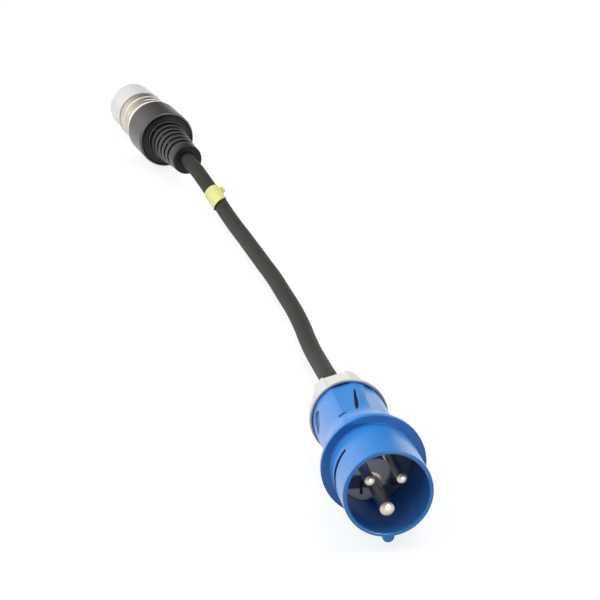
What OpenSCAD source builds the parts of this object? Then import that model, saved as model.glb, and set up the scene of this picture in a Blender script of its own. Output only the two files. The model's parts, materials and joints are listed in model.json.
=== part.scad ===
// Blue three-pin industrial plug on a short lead with a capped round connector.
// Millimetres, +Z up, the plug lying on the floor with its mouth towards -Y.
// The origin is on the floor under the middle of the plug.

/* [Pins] */
// Diameter of the circle that the pin centres lie on
pin_circle_d = 18; // [17:0.5:20]
// Diameter of the two phase pins
phase_pin_d = 5; // [4:0.1:5.6]
// Diameter of the earth pin
earth_pin_d = 7; // [6:0.1:7.6]
// Length of a phase pin in front of the carrier's face
phase_pin_len = 33.9; // [28:0.1:36]
// Length of the earth pin in front of the carrier's face
earth_pin_len = 36.8; // [30:0.1:39]

/* [Shroud] */
// Outside diameter of the shroud round the pins
shroud_d = 43.7; // [42.5:0.1:46]
// Wall of the shroud
shroud_wall = 2.1; // [1.8:0.1:2.6]
// Length of the shroud in front of the flange
shroud_len = 36.5; // [36:0.5:46]
// Radial width of the flange round the shroud
flange_lip = 4.4; // [3.4:0.1:7]
// Thickness of the flange
flange_t = 3; // [2.4:0.1:4.5]
// Width of the key under the shroud
key_w = 5.8; // [5:0.1:8]
// Height of the key below the shroud
key_h = 3; // [2.6:0.1:4]

/* [Contact carrier] */
// Place of the carrier's face along the axis, from the flange's front
carrier_face = -3.1; // [-5:0.1:1]
// Depth of the carrier's front disc below its face
carrier_disc_t = 5; // [5:0.5:8]
// Length of the terminal block behind the front disc
terminal_len = 19; // [17:0.5:24]

/* [Housing] */
// Diameter of the housing's grip
grip_d = 38.4; // [37.5:0.2:42]
// Radial step from the flange's edge down to the housing
flange_step = 0.4; // [0.2:0.1:2]
// Length of the housing's flare behind the flange
flare_len = 34; // [26:1:40]
// Distance from the flange's front to the gland nut's front
nut_set_back = 67.5; // [66:0.5:85]
// Wall of the housing's grip
housing_wall = 2.6; // [2.2:0.1:3.2]
// Width of the rib along the top of the grip
rib_w = 5.4; // [4:0.2:8]

/* [Gland] */
// Diameter of the gland nut's collar
nut_d = 41.6; // [41:0.1:46]
// Length of the gland nut
nut_len = 25.5; // [22:0.5:30]
// Number of grip lobes round the gland nut
nut_lobes = 6; // [5:1:8]
// Diameter of the threaded neck under the nut
neck_d = 30; // [29:0.5:31]

/* [Lead] */
// Diameter of the cable
cable_d = 10.4; // [8.5:0.1:11]
// Diameter of an insulated core
core_d = 3.4; // [2.8:0.1:3.6]
// Length of the tape label round the cable
label_len = 19; // [10:1:20]

/* [Connector] */
// Diameter of the connector's sleeve
sleeve_d = 41.4; // [40.5:0.2:46]
// Length of the connector's sleeve
sleeve_len = 33; // [30:0.5:40]
// Diameter of the metal shell and coupling ring
shell_d = 37; // [36:0.2:39]
// Length of the shell's fixed band
band_len = 13.5; // [10:0.5:18]
// Length of the coupling ring
ring_len = 18; // [14:0.5:24]
// Diameter of the shell's nose
nose_d = 32.8; // [31:0.2:33.6]
// Length of the nose in front of the coupling ring
nose_len = 28; // [20:0.5:30]
// Length of the dust cap
cap_len = 31; // [30:0.5:40]
// Wall of the dust cap
cap_wall = 1.5; // [1:0.1:1.6]
// Length of the bend relief behind the sleeve
boot_len = 53; // [44:1:60]
// Number of rings on the bend relief
boot_rings = 6; // [4:1:8]

/* [Hidden] */
$fn = 96;

// Clearances
fit_gap = 0.15;    // between pieces that are pushed together
run_gap = 0.25;    // between pieces that turn or slide on each other
cut = 1;           // how far a cutter runs past the face that it opens
edge = 0.6;        // chamfer of moulded edges

// Colours as the photograph shows them
blue = [0.16, 0.45, 0.87];
dark_grey = [0.24, 0.25, 0.27];
nickel = [0.80, 0.76, 0.70];
pale_grey = [0.90, 0.90, 0.88];
black = [0.13, 0.13, 0.13];
charcoal = [0.23, 0.23, 0.22];
brass = [0.80, 0.65, 0.32];

// Plug: stations along its axis, which points out of the mouth from the flange's front
shroud_r = shroud_d / 2;
shroud_bore_r = shroud_r - shroud_wall;
flange_r = shroud_r + flange_lip;
grip_r = grip_d / 2;
grip_bore_r = grip_r - housing_wall;
nut_r = nut_d / 2;
neck_r = neck_d / 2;
cable_r = cable_d / 2;
core_r = core_d / 2;

carrier_r = shroud_bore_r - fit_gap;
rim_lip = 1.1;                                       // how far the carrier's rim laps the shroud's back
carrier_rim_r = shroud_bore_r + rim_lip;
carrier_rim_t = 2.5;
rim_z = carrier_face - carrier_disc_t;               // front of the rim
seat_z = rim_z - carrier_rim_t;                      // housing's shoulder behind the rim
block_r = grip_bore_r - fit_gap;
block_z = seat_z - terminal_len;                     // back of the terminal block
barrel_back = block_z + 1;                           // back of the terminal barrels
screw_z = block_z + terminal_len / 2;                // axis of the terminal screws

collar_lap = 2.5;                                    // the nut's collar over the housing's end
collar_t = 3;
housing_back = -nut_set_back - collar_lap;
neck_len = 10;
neck_back = housing_back - neck_len;
nut_back = -nut_set_back - nut_len;
nut_taper = 3.6;                                     // how much the nut's radius shrinks to its back
nut_back_r = nut_r - nut_taper;
neck_wall = 3.5;
neck_bore_r = neck_r - neck_wall;
seal_len = 9;
seal_lead = 3.5;                                     // how far the seal reaches back into the neck
seal_front = housing_back + seal_len - seal_lead;    // ledge that the seal sits on
ledge_t = 2.5;
cage_front = seal_front - seal_len;
cage_ring_len = 5;
nut_end_t = 4.5;                                     // the nut's end behind the cage
cage_back = nut_back + nut_end_t;
cage_fingers = 6;
sheath_lead = 8;                                     // sheath in front of the seal
sheath_end = seal_front + sheath_lead;
cable_hole_r = cable_r + 2;                          // hole that the cable passes

// The flange's and the nut's rear edges both lie on the floor, so the mouth points slightly up
rest_tilt = atan((flange_r - nut_r) / (nut_set_back + collar_t - edge - (flange_t - edge)));
axis_height = flange_r * cos(rest_tilt) + (flange_t - edge) * sin(rest_tilt);
plug_front = shroud_len * cos(rest_tilt) + (shroud_r + key_h) * sin(rest_tilt);
plug_behind = -nut_back * cos(rest_tilt) + nut_back_r * sin(rest_tilt);
plug_shift = (plug_front - plug_behind) / 2;

// Pins: where each stands on the pin circle, seen into the mouth
live_angle = 150;
neutral_angle = 30;
earth_angle = 270;
pin_collar = 0.7;      // step from a pin to its collar in the carrier
barrel_step = 1.7;     // step from a pin to its terminal barrel
pin_dome = 0.9;        // height of a pin's domed tip
boss_h = 1.2;          // boss round a phase pin
boss_w = 1.2;
wire_r = 1.1;
terminal_screw_r = 1.75;

// Connector: stations along its axis, which points to the cap from the sleeve's cable side
sleeve_r = sleeve_d / 2;
shell_r = shell_d / 2;
nose_r = nose_d / 2;
sleeve_wall = 3.2;
sleeve_bore_r = sleeve_r - sleeve_wall;
sleeve_back_t = 4;
boot_base_r = 14.6;
boot_tip_r = 10.7;
boot_collar_len = 7.5;
boot_core_t = 1.6;
boot_core_r = cable_r + boot_core_t;
boot_flange_t = 3;
grip_ring_len = 8;
grip_ring_z = sleeve_back_t + boot_flange_t + fit_gap;
far_sheath_lead = 3;
far_sheath_end = grip_ring_z + grip_ring_len + far_sheath_lead;
spigot_len = 10;
spigot_z = sleeve_len - spigot_len;
ring_z = sleeve_len + band_len + run_gap;
clip_t = 1.2;
clip_z = ring_z + ring_len + run_gap;
clip_depth = 0.8;
nose_z = ring_z + ring_len + nose_len;
cap_z = clip_z + clip_t + 2 * run_gap;
cap_bore_r = nose_r + run_gap;
cap_r = cap_bore_r + cap_wall;
insert_wall = 3;
insert_r = nose_r - insert_wall;
insert_step = 4;
insert_z = spigot_z + insert_step;
contact_r = 2.2;
contact_circle_r = 7.5;
contact_count = 6;

// Where the connector lies on the floor, and which way it points
connector_x = -47.5;
connector_y = 541;
connector_yaw = 11;

// A point at a distance behind the flange's front, on the plug's axis
function plug_point(back) = [
    0,
    plug_shift + back * cos(rest_tilt),
    axis_height - back * sin(rest_tilt)
];

// A point at a distance in front of the sleeve's cable side, on the connector's axis
function connector_point(ahead) = [
    connector_x - ahead * sin(connector_yaw),
    connector_y + ahead * cos(connector_yaw),
    sleeve_r
];

// The lead's route: out of the gland, down to the floor, along it and up into the bend relief
floor_gap = 0.1;
floor_z = cable_r + floor_gap;
label_from = [-22.3, 427, 9];
label_to = [-28, 451, 14.3];
label_share = 0.62;    // where the label's middle is between those two points
nut_run = 12;          // straight cable behind the nut
boot_run = 5;          // straight cable before the bend relief
boot_lead = 8;         // straight cable inside its end
route = concat(
    [plug_point(-sheath_end), plug_point(-cage_front), plug_point(-nut_back),
     plug_point(-nut_back + nut_run)],
    [[0, 100, 15.9], [0.5, 120, 12.3], [1, 140, 8.9], [1, 160, 6.5], [1, 180, floor_z],
     [1, 206, floor_z], [0, 232, floor_z], [-2, 258, floor_z], [-4, 284, floor_z],
     [-7, 310, floor_z], [-10, 336, floor_z], [-13, 362, floor_z], [-16, 386, floor_z],
     [-19, 408, 6.4], label_from, label_to, [-32.8, 470, 18.5]],
    [connector_point(-boot_len - boot_run), connector_point(-boot_len + boot_lead),
     connector_point(far_sheath_end)]
);

// Sweep of a round tube along points, each with its radius, as one closed skin.
// The upright is any direction that the path never takes.
function unit(v) = v / norm(v);
function tangent(path, i) =
    unit(path[min(i + 1, len(path) - 1)] - path[max(i - 1, 0)]);
function ring_points(centre, along, upright, radius, sides) =
    let (side = unit(cross(along, upright)), up = cross(side, along))
    [for (k = [0 : sides - 1])
        let (a = 360 * (k + 0.5) / sides)
        centre + radius * (cos(a) * side + sin(a) * up)];

module swept_tube(path, radii, sides, upright) {
    last = len(path) - 1;
    points = [for (i = [0 : last])
        each ring_points(path[i], tangent(path, i), upright, radii[i], sides)];
    walls = [for (i = [0 : last - 1], k = [0 : sides - 1])
        let (n = (k + 1) % sides)
        [i * sides + k, (i + 1) * sides + k, (i + 1) * sides + n, i * sides + n]];
    start_face = [for (k = [0 : sides - 1]) k];
    end_face = [for (k = [sides - 1 : -1 : 0]) last * sides + k];
    polyhedron(points, concat(walls, [start_face, end_face]), convexity = 8);
}

// A ring turned from a rectangle, with one chamfer on all four corners
module turned_ring(inner, outer, from, to, chamfer = 0) {
    rotate_extrude()
        polygon([
            [inner, from], [outer - chamfer, from], [outer, from + chamfer],
            [outer, to - chamfer], [outer - chamfer, to], [inner, to]
        ]);
}

// A cylinder with a shallow domed end
module domed_rod(radius, length, dome) {
    ball_r = (radius * radius + dome * dome) / (2 * dome);
    cylinder(r = radius, h = length - dome);
    intersection() {
        translate([0, 0, length - 2 * dome]) cylinder(r = radius, h = 2 * dome);
        translate([0, 0, length - ball_r]) sphere(r = ball_r);
    }
}

module on_plug() {
    translate([0, plug_shift, axis_height]) rotate([90 - rest_tilt, 0, 0]) children();
}

module on_connector() {
    translate([connector_x, connector_y, sleeve_r])
        rotate([0, 0, connector_yaw]) rotate([-90, 0, 0]) children();
}

module at_pin(angle) {
    rotate(angle) translate([pin_circle_d / 2, 0, 0]) children();
}

// Shroud round the pins, with the flange, the key and the spigot that enters the housing
rating_slot_w = 2.8;
rating_slot_z = 11.5;
rating_slot_depth = 1.2;
rating_slot_from = 139;
rating_slot_arc = 60;

module plug_shroud() {
    color(blue) on_plug()
        difference() {
            union() {
                rotate_extrude()
                    polygon([
                        [shroud_bore_r, rim_z], [shroud_r, rim_z], [shroud_r, -flange_t],
                        [flange_r - edge, -flange_t],
                        [flange_r, -flange_t + edge], [flange_r, -edge], [flange_r - edge, 0],
                        [shroud_r, 0], [shroud_r, shroud_len - edge], [shroud_r - edge, shroud_len],
                        [shroud_bore_r + edge, shroud_len], [shroud_bore_r, shroud_len - edge]
                    ]);
                shroud_key();
            }
            rating_slot();
        }
}

module shroud_key() {
    nose = key_w / 2;
    linear_extrude(shroud_len)
        translate([0, -shroud_r - key_h + nose]) {
            circle(r = nose);
            translate([-nose, 0]) square([key_w, key_h + shroud_wall / 2 - nose]);
        }
}

module rating_slot() {
    rotate(rating_slot_from)
        rotate_extrude(angle = rating_slot_arc)
            translate([shroud_r - rating_slot_depth, rating_slot_z])
                square([rating_slot_depth + cut, rating_slot_w]);
}

// Housing behind the flange: a flared grip and a threaded neck.
// Each half of the grip has a slanting rib between two flats, a groove, an arc and a thumb recess.
flare_steps = 10;
flare_power = 2.4;
ledge_cone = 6;
rib_angle = 90;
grip_slant = 7.5;        // slant of the rib and its groove against the plug's axis
flat_share = 0.75;       // where on the flare the flats begin
flat_from = flange_t + flat_share * flare_len;
flat_w = 14;
grip_flats = [[1, 13, 0.85], [-1, 28, 0.6]];  // side of the rib, turn from it, depth
groove_w = 1.4;
groove_len = 29;
groove_depth = 1.5;
groove_turn = 2;         // turn of the groove's middle from the rib's front end
groove_set = 25.5;       // the groove's middle in front of the housing's back
arc_w = 0.9;
arc_depth = 1.2;
arc_from = 111;
arc_turn = 16;
recess_w = 5;
recess_len = 15;
recess_depth = 1.4;
recess_slant = 20;
recess_angle = 171;
recess_set = 14.5;       // the recess's middle in front of the housing's back

function flare_r(t) =
    let (top = flange_r - flange_step)
    grip_r + (top - grip_r) * pow(1 - t, flare_power);

module plug_housing() {
    flare = [for (i = [0 : flare_steps])
        let (t = i / flare_steps) [flare_r(t), -flange_t - t * flare_len]];
    spigot_bore_r = shroud_r + fit_gap;
    rim_bore_r = carrier_rim_r + fit_gap;
    color(blue) on_plug()
        difference() {
            rotate_extrude()
                polygon(concat(flare, [
                    [grip_r, housing_back + edge], [grip_r - edge, housing_back],
                    [neck_r, housing_back], [neck_r, neck_back + edge], [neck_r - edge, neck_back],
                    [neck_bore_r, neck_back], [neck_bore_r, seal_front],
                    [cable_hole_r, seal_front], [cable_hole_r, seal_front + ledge_t],
                    [grip_bore_r, seal_front + ledge_t + ledge_cone], [grip_bore_r, seat_z],
                    [rim_bore_r, seat_z], [rim_bore_r, rim_z],
                    [spigot_bore_r, rim_z], [spigot_bore_r, -flange_t]
                ]));
            for (half = [0, 180]) rotate(half) {
                for (flat = grip_flats) grip_flat(flat[0], flat[1], flat[2]);
                rib_groove();
                grip_arc();
                thumb_recess();
            }
        }
}

// A flat beside the rib, which it meets in a step along the rib's slanting side
module grip_flat(side, turn, depth) {
    rib_half_angle = asin(rib_w / (2 * grip_r));
    step_y = grip_r * sin(side * (rib_half_angle - turn));
    long = -housing_back - flat_from + cut;
    rotate(rib_angle + side * turn)
        translate([grip_r - depth, step_y, -flat_from])
            rotate([-grip_slant, 0, 0])
                translate([0, side > 0 ? 0 : -flat_w, -long]) cube([grip_r, flat_w, long]);
}

module rib_groove() {
    rotate(rib_angle + groove_turn)
        translate([grip_r - groove_depth, 0, housing_back + groove_set])
            rotate([-grip_slant, 0, 0])
                translate([0, -groove_w / 2, -groove_len / 2]) cube([grip_r, groove_w, groove_len]);
}

module grip_arc() {
    rotate(arc_from)
        rotate_extrude(angle = arc_turn)
            translate([grip_r - arc_depth, -flat_from - arc_w]) square([grip_r, arc_w]);
}

module thumb_recess() {
    reach = recess_len / 2 - recess_w / 2;
    rotate(recess_angle)
        translate([grip_r - recess_depth, 0, housing_back + recess_set])
            rotate([-recess_slant, 0, 0]) rotate([0, 90, 0])
                linear_extrude(grip_r) {
                    square([2 * reach, recess_w], center = true);
                    for (s = [-1, 1]) translate([s * reach, 0]) circle(d = recess_w);
                }
}

// Carrier that holds the pins, with the terminal block behind it
mark_slot = [1.5, 6.8];
mark_slot_at = [-5.8, -12.4];
pilot_r = 2.4;
pilot_at = [10.8, -10];
pocket_depth = 4;

module contact_carrier() {
    color(dark_grey) on_plug()
        difference() {
            union() {
                translate([0, 0, rim_z]) cylinder(r = carrier_r, h = carrier_disc_t);
                translate([0, 0, seat_z]) cylinder(r = carrier_rim_r, h = carrier_rim_t);
                translate([0, 0, block_z]) cylinder(r = block_r, h = terminal_len);
                for (a = [live_angle, neutral_angle])
                    at_pin(a) translate([0, 0, carrier_face - cut])
                        cylinder(r = phase_pin_d / 2 + pin_collar + boss_w, h = boss_h + cut);
            }
            for (a = [live_angle, neutral_angle]) at_pin(a) pin_pocket(phase_pin_d / 2, boss_h);
            at_pin(earth_angle) pin_pocket(earth_pin_d / 2, 0);
            face_pocket(mark_slot_at) square(mark_slot, center = true);
            face_pocket(pilot_at) circle(r = pilot_r);
        }
}

module pin_pocket(pin_r, boss) {
    translate([0, 0, rim_z]) cylinder(r = pin_r + pin_collar + fit_gap, h = carrier_disc_t + boss + cut);
    translate([0, 0, block_z - cut]) cylinder(r = pin_r + barrel_step + fit_gap, h = rim_z - block_z + cut);
    translate([0, 0, screw_z]) rotate([0, 90, 0])
        cylinder(r = terminal_screw_r + run_gap, h = 2 * block_r);
}

module face_pocket(at) {
    translate([at[0], at[1], carrier_face - pocket_depth]) linear_extrude(pocket_depth + cut) children();
}

// A pin with its collar in the carrier and its drilled terminal barrel behind
module contact_pin(pin_r, length, boss) {
    barrel_r = pin_r + barrel_step;
    foot = carrier_face + boss;
    difference() {
        union() {
            translate([0, 0, rim_z]) domed_rod(pin_r, carrier_face + length - rim_z, pin_dome);
            translate([0, 0, rim_z - cut]) cylinder(r = pin_r + pin_collar, h = foot - rim_z + cut);
            translate([0, 0, barrel_back]) cylinder(r = barrel_r, h = rim_z - barrel_back);
        }
        translate([0, 0, barrel_back - cut]) cylinder(r = core_r + fit_gap, h = wire_entry + 2 * cut);
        translate([0, 0, screw_z]) rotate([0, 90, 0])
            cylinder(r = terminal_screw_r + fit_gap, h = barrel_r + cut);
    }
}

module live_pin() {
    color(nickel) on_plug() at_pin(live_angle) contact_pin(phase_pin_d / 2, phase_pin_len, boss_h);
}

module neutral_pin() {
    color(nickel) on_plug() at_pin(neutral_angle) contact_pin(phase_pin_d / 2, phase_pin_len, boss_h);
}

module earth_pin() {
    color(nickel) on_plug() at_pin(earth_angle) contact_pin(earth_pin_d / 2, earth_pin_len, 0);
}

// Slotted grub screws that clamp the wires in the terminal barrels
screw_slot_w = 0.8;
screw_slot_depth = 0.9;
screw_stand = 0.6;     // screw above the barrel

module terminal_screws() {
    color(nickel) on_plug() {
        for (a = [live_angle, neutral_angle]) at_pin(a) terminal_screw(phase_pin_d / 2);
        at_pin(earth_angle) terminal_screw(earth_pin_d / 2);
    }
}

module terminal_screw(pin_r) {
    head = pin_r + barrel_step + screw_stand;
    translate([0, 0, screw_z]) rotate([0, 90, 0])
        difference() {
            translate([0, 0, wire_r + fit_gap])
                cylinder(r = terminal_screw_r, h = head - wire_r - fit_gap);
            translate([-terminal_screw_r - cut, -screw_slot_w / 2, head - screw_slot_depth])
                cube([2 * (terminal_screw_r + cut), screw_slot_w, screw_slot_depth + cut]);
        }
}

// A core from its terminal to the sheath's end, with its bare wire in the barrel
core_sides = 8;
core_bundle_r = core_d / sqrt(3) + run_gap;
core_entry = 3;        // insulation inside the barrel's mouth
wire_entry = 14;       // bare wire inside the barrel
strip_step = 0.05;
core_straight = 2;     // straight run at a core's ends
core_bend = 6;         // length of the bend that follows
core_sway = 1.5;       // how far the bend moves the core sideways

module plug_core(angle) {
    pin_r = pin_circle_d / 2;
    strip_z = barrel_back + core_entry;
    path = [
        [pin_r, 0, barrel_back + wire_entry], [pin_r, 0, strip_z + strip_step], [pin_r, 0, strip_z],
        [pin_r, 0, barrel_back - core_straight],
        [pin_r - core_sway, 0, barrel_back - core_straight - core_bend],
        [core_bundle_r + core_sway, 0, sheath_end + core_straight + core_bend],
        [core_bundle_r, 0, sheath_end + core_straight], [core_bundle_r, 0, sheath_end]
    ];
    radii = [wire_r, wire_r, core_r, core_r, core_r, core_r, core_r, core_r];
    on_plug() rotate(angle) swept_tube(path, radii, core_sides, [0, 1, 0]);
}

module live_core() {
    color([0.42, 0.25, 0.14]) plug_core(live_angle);
}

module neutral_core() {
    color([0.20, 0.42, 0.75]) plug_core(neutral_angle);
}

module earth_core() {
    color([0.45, 0.65, 0.20]) plug_core(earth_angle);
}

// Gland: rubber seal, clamp cage with fingers, and the nut
module gland_seal() {
    color(black) on_plug()
        turned_ring(cable_r + fit_gap, neck_bore_r - fit_gap, cage_front, seal_front, edge);
}

finger_slot_w = 2;
cage_ring_r = neck_bore_r - run_gap;
cage_play = 0.6;       // round the cable
finger_tip_t = 2.6;
cage_bore_r = cable_r + cage_play;
cage_tip_r = cage_bore_r + finger_tip_t;
cage_ring_back = cage_front - cage_ring_len;

// Radius of the cage's tapered fingers at a station along the plug's axis
function finger_r(z) =
    cage_tip_r + (cage_ring_r - cage_tip_r) * (z - cage_back) / (cage_ring_back - cage_back);

module clamp_cage() {
    color(pale_grey) on_plug()
        difference() {
            rotate_extrude()
                polygon([
                    [cage_bore_r, cage_front - fit_gap], [cage_ring_r, cage_front - fit_gap],
                    [cage_ring_r, cage_ring_back], [cage_tip_r, cage_back], [cage_bore_r, cage_back]
                ]);
            for (i = [0 : cage_fingers - 1])
                rotate(i * 360 / cage_fingers)
                    translate([0, -finger_slot_w / 2, cage_back - cut])
                        cube([neck_r, finger_slot_w, cage_ring_back - cage_back]);
        }
}

lobe_gap = 11.5;
lobe_h = 1.9;
lobe_angle = 75;       // where one of the lobes is
collar_step = 0.4;     // from the collar down to the lobes
lobe_r = nut_r - edge - collar_step;

module gland_nut() {
    bore_r = neck_r + run_gap;
    collar_back = -nut_set_back - collar_t;
    seat_front = neck_back - run_gap;
    seat_back = cage_back - run_gap;
    color(pale_grey) on_plug()
        difference() {
            rotate_extrude()
                polygon([
                    [grip_r + run_gap, -nut_set_back], [nut_r - edge, -nut_set_back],
                    [nut_r, -nut_set_back - edge], [nut_r, collar_back + edge],
                    [nut_r - edge, collar_back], [lobe_r, collar_back],
                    [nut_back_r, nut_back + edge], [nut_back_r - edge, nut_back],
                    [cable_hole_r, nut_back], [cable_hole_r, seat_back],
                    [finger_r(seat_back) + 2 * run_gap, seat_back],
                    [finger_r(seat_front) + 2 * run_gap, seat_front],
                    [bore_r, seat_front], [bore_r, housing_back - run_gap],
                    [grip_r + run_gap, housing_back - run_gap]
                ]);
            for (i = [0 : nut_lobes - 1])
                rotate(lobe_angle + (i + 0.5) * 360 / nut_lobes) lobe_flat(collar_back);
        }
}

// A flat between two grip lobes, which follows the nut's taper
module lobe_flat(collar_back) {
    long = collar_back - nut_back;
    lean = atan((lobe_r - nut_back_r) / long);
    reach = long / cos(lean) + 2 * cut;
    translate([lobe_r - lobe_h, -lobe_gap / 2, collar_back])
        rotate([0, lean, 0]) translate([0, 0, -reach]) cube([nut_r, lobe_gap, reach]);
}

// Lead
cable_sides = 12;

module cable() {
    radii = [for (point = route) cable_r];
    color(charcoal) swept_tube(route, radii, cable_sides, [0, 0, 1]);
}

tape_t = 0.4;
tape_flag = 5;
tape_flag_w = 8;

module cable_label() {
    along = unit(label_to - label_from);
    middle = label_to + (label_from - label_to) * label_share;
    from = middle - along * label_len / 2;
    tape_r = cable_r + fit_gap;
    color([0.97, 0.96, 0.50])
        translate(from)
            rotate([0, acos(along[2]), atan2(along[1], along[0])])
                difference() {
                    union() {
                        cylinder(r = tape_r + tape_t, h = label_len);
                        translate([0, -tape_r - tape_flag, label_len - tape_flag_w])
                            cube([tape_t, tape_r + tape_flag, tape_flag_w]);
                    }
                    translate([0, 0, -cut]) cylinder(r = tape_r, h = label_len + 2 * cut);
                }
}

// Bend relief: a bored cone of rings joined by staggered bridges, with a plain collar at its end
ring_fill = 0.58;      // share of the pitch that a ring fills
ring_set = 0.8;        // first ring below the base, in radius
bridge_w = 3;
bridge_set = 0.5;      // bridges below the rings
boot_root = 2;         // plain base behind the sleeve
boot_round = 1.6;      // rounded end of the collar
collar_draft = 0.4;

module bend_relief() {
    collar_front = -boot_len + boot_collar_len;
    pitch = (-collar_front - boot_root) / boot_rings;
    bore_r = cable_r + fit_gap;
    flange_front = sleeve_back_t + boot_flange_t;
    flange_r = sleeve_bore_r - fit_gap;
    color(black) on_connector()
        difference() {
            union() {
                rotate_extrude()
                    polygon(concat(
                        [[0, flange_front], [flange_r, flange_front], [flange_r, sleeve_back_t],
                         [boot_base_r, sleeve_back_t], [boot_base_r, edge - boot_root],
                         [boot_base_r - edge, -boot_root]],
                        [for (i = [0 : boot_rings - 1])
                            each boot_ring_profile(-boot_root - i * pitch, pitch, i)],
                        [[boot_core_r, collar_front], [boot_tip_r + collar_draft, collar_front],
                         [boot_tip_r, -boot_len + boot_round], [boot_tip_r - boot_round, -boot_len],
                         [0, -boot_len]]
                    ));
                for (i = [0 : boot_rings - 1])
                    rotate(90 * i + 45) boot_bridges(-boot_root - i * pitch, pitch, i);
            }
            translate([0, 0, -boot_len - cut])
                cylinder(r = bore_r, h = boot_len + flange_front + 2 * cut);
        }
}

function boot_ring_r(i) =
    let (top = boot_base_r - ring_set)
    top - (top - boot_tip_r) * i / boot_rings;

function boot_ring_profile(from, pitch, i) =
    let (gap = pitch * (1 - ring_fill))
    [[boot_core_r, from], [boot_core_r, from - gap],
     [boot_ring_r(i), from - gap], [boot_ring_r(i + ring_fill), from - pitch]];

module boot_bridges(from, pitch, i) {
    gap = pitch * (1 - ring_fill);
    reach = boot_ring_r(i) - bridge_set;
    translate([-reach, -bridge_w / 2, from - gap - cut / 2]) cube([2 * reach, bridge_w, gap + cut]);
}

// Clamp bush that holds the sheath inside the sleeve
module cord_grip() {
    split_w = 1.5;
    ring_front = grip_ring_z + grip_ring_len;
    color(dark_grey) on_connector()
        difference() {
            turned_ring(cable_r + fit_gap, sleeve_bore_r - fit_gap, grip_ring_z, ring_front, edge);
            translate([0, -split_w / 2, grip_ring_z - cut])
                cube([sleeve_r, split_w, grip_ring_len + 2 * cut]);
        }
}

module connector_sleeve() {
    back_edge = 1.4;
    step_t = 0.8;
    step_w = 2;
    hole_r = boot_base_r + fit_gap;
    color(black) on_connector()
        rotate_extrude()
            polygon([
                [hole_r, 0], [hole_r + step_w, 0], [hole_r + step_w, step_t],
                [sleeve_r - back_edge - edge, step_t], [sleeve_r - back_edge, 0], [sleeve_r, back_edge],
                [sleeve_r, sleeve_len - edge], [sleeve_r - edge, sleeve_len],
                [sleeve_bore_r, sleeve_len], [sleeve_bore_r, sleeve_back_t], [hole_r, sleeve_back_t]
            ]);
}

// Cores from the sheath's end to the contacts
core_count = 3;
core_stub = 1.5;       // straight run at each end

module connector_cores() {
    path = [
        [core_bundle_r, 0, far_sheath_end], [core_bundle_r, 0, far_sheath_end + core_stub],
        [contact_circle_r, 0, insert_z - core_stub], [contact_circle_r, 0, insert_z]
    ];
    radii = [for (point = path) core_r];
    color([0.42, 0.25, 0.14]) on_connector()
        for (i = [0 : core_count - 1])
            rotate(90 + i * 360 / core_count) swept_tube(path, radii, core_sides, [0, 1, 0]);
}

// Shell: spigot in the sleeve, the fixed band, and the nose that carries the ring and the cap
seal_groove_z = 4;
seal_cord_r = 0.9;
seal_play = 0.1;
band_groove = 0.6;

module connector_shell() {
    spigot_r = sleeve_bore_r - fit_gap;
    clip_bottom = nose_r - clip_depth;
    seal_from = spigot_z + seal_groove_z;
    seal_to = seal_from + 2 * seal_cord_r + fit_gap;
    seal_bottom = spigot_r - 2 * seal_cord_r;
    color(nickel) on_connector()
        rotate_extrude()
            polygon([
                [insert_r + fit_gap, spigot_z], [spigot_r, spigot_z], [spigot_r, seal_from],
                [seal_bottom, seal_from], [seal_bottom, seal_to], [spigot_r, seal_to],
                [spigot_r, sleeve_len], [shell_r - edge, sleeve_len], [shell_r, sleeve_len + edge],
                [shell_r, sleeve_len + band_len / 2 - band_groove],
                [shell_r - band_groove, sleeve_len + band_len / 2],
                [shell_r, sleeve_len + band_len / 2 + band_groove],
                [shell_r, sleeve_len + band_len - edge], [shell_r - edge, sleeve_len + band_len],
                [nose_r, sleeve_len + band_len], [nose_r, clip_z], [clip_bottom, clip_z],
                [clip_bottom, clip_z + clip_t + fit_gap], [nose_r, clip_z + clip_t + fit_gap],
                [nose_r, nose_z - edge], [nose_r - edge, nose_z], [insert_r + fit_gap, nose_z]
            ]);
}

module shell_seal() {
    spigot_r = sleeve_bore_r - fit_gap;
    color(black) on_connector()
        translate([0, 0, spigot_z + seal_groove_z + seal_cord_r + fit_gap / 2])
            rotate_extrude() translate([spigot_r - seal_cord_r, 0]) circle(r = seal_cord_r - seal_play);
}

// Insulating insert with its contact bores, and the sockets in them
module contact_insert() {
    color(dark_grey) on_connector()
        difference() {
            translate([0, 0, insert_z]) cylinder(r = insert_r, h = nose_z - edge - insert_z);
            each_contact() translate([0, 0, insert_z - cut])
                cylinder(r = contact_r + fit_gap, h = nose_z - insert_z + 2 * cut);
        }
}

module each_contact() {
    for (i = [0 : contact_count - 1])
        rotate(90 + i * 360 / contact_count) translate([contact_circle_r, 0, 0]) children();
}

module socket_contacts() {
    bore_r = 1.4;
    depth = 20;
    sunk = 1;
    front = nose_z - edge - sunk;
    color(brass) on_connector()
        each_contact()
            difference() {
                translate([0, 0, insert_z]) cylinder(r = contact_r, h = front - insert_z);
                translate([0, 0, front - depth]) cylinder(r = bore_r, h = depth + cut);
            }
}

// Coupling ring that turns on the nose, kept by its clip
module coupling_ring() {
    groove_share = 0.38;
    groove_z = ring_z + ring_len * groove_share;
    groove_w = 1.6;
    color(nickel) on_connector()
        rotate_extrude()
            polygon([
                [nose_r + run_gap, ring_z], [shell_r - edge, ring_z], [shell_r, ring_z + edge],
                [shell_r, groove_z], [shell_r - edge, groove_z + edge / 2],
                [shell_r - edge, groove_z + groove_w - edge / 2], [shell_r, groove_z + groove_w],
                [shell_r, ring_z + ring_len - edge], [shell_r - edge, ring_z + ring_len],
                [nose_r + run_gap, ring_z + ring_len]
            ]);
}

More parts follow.
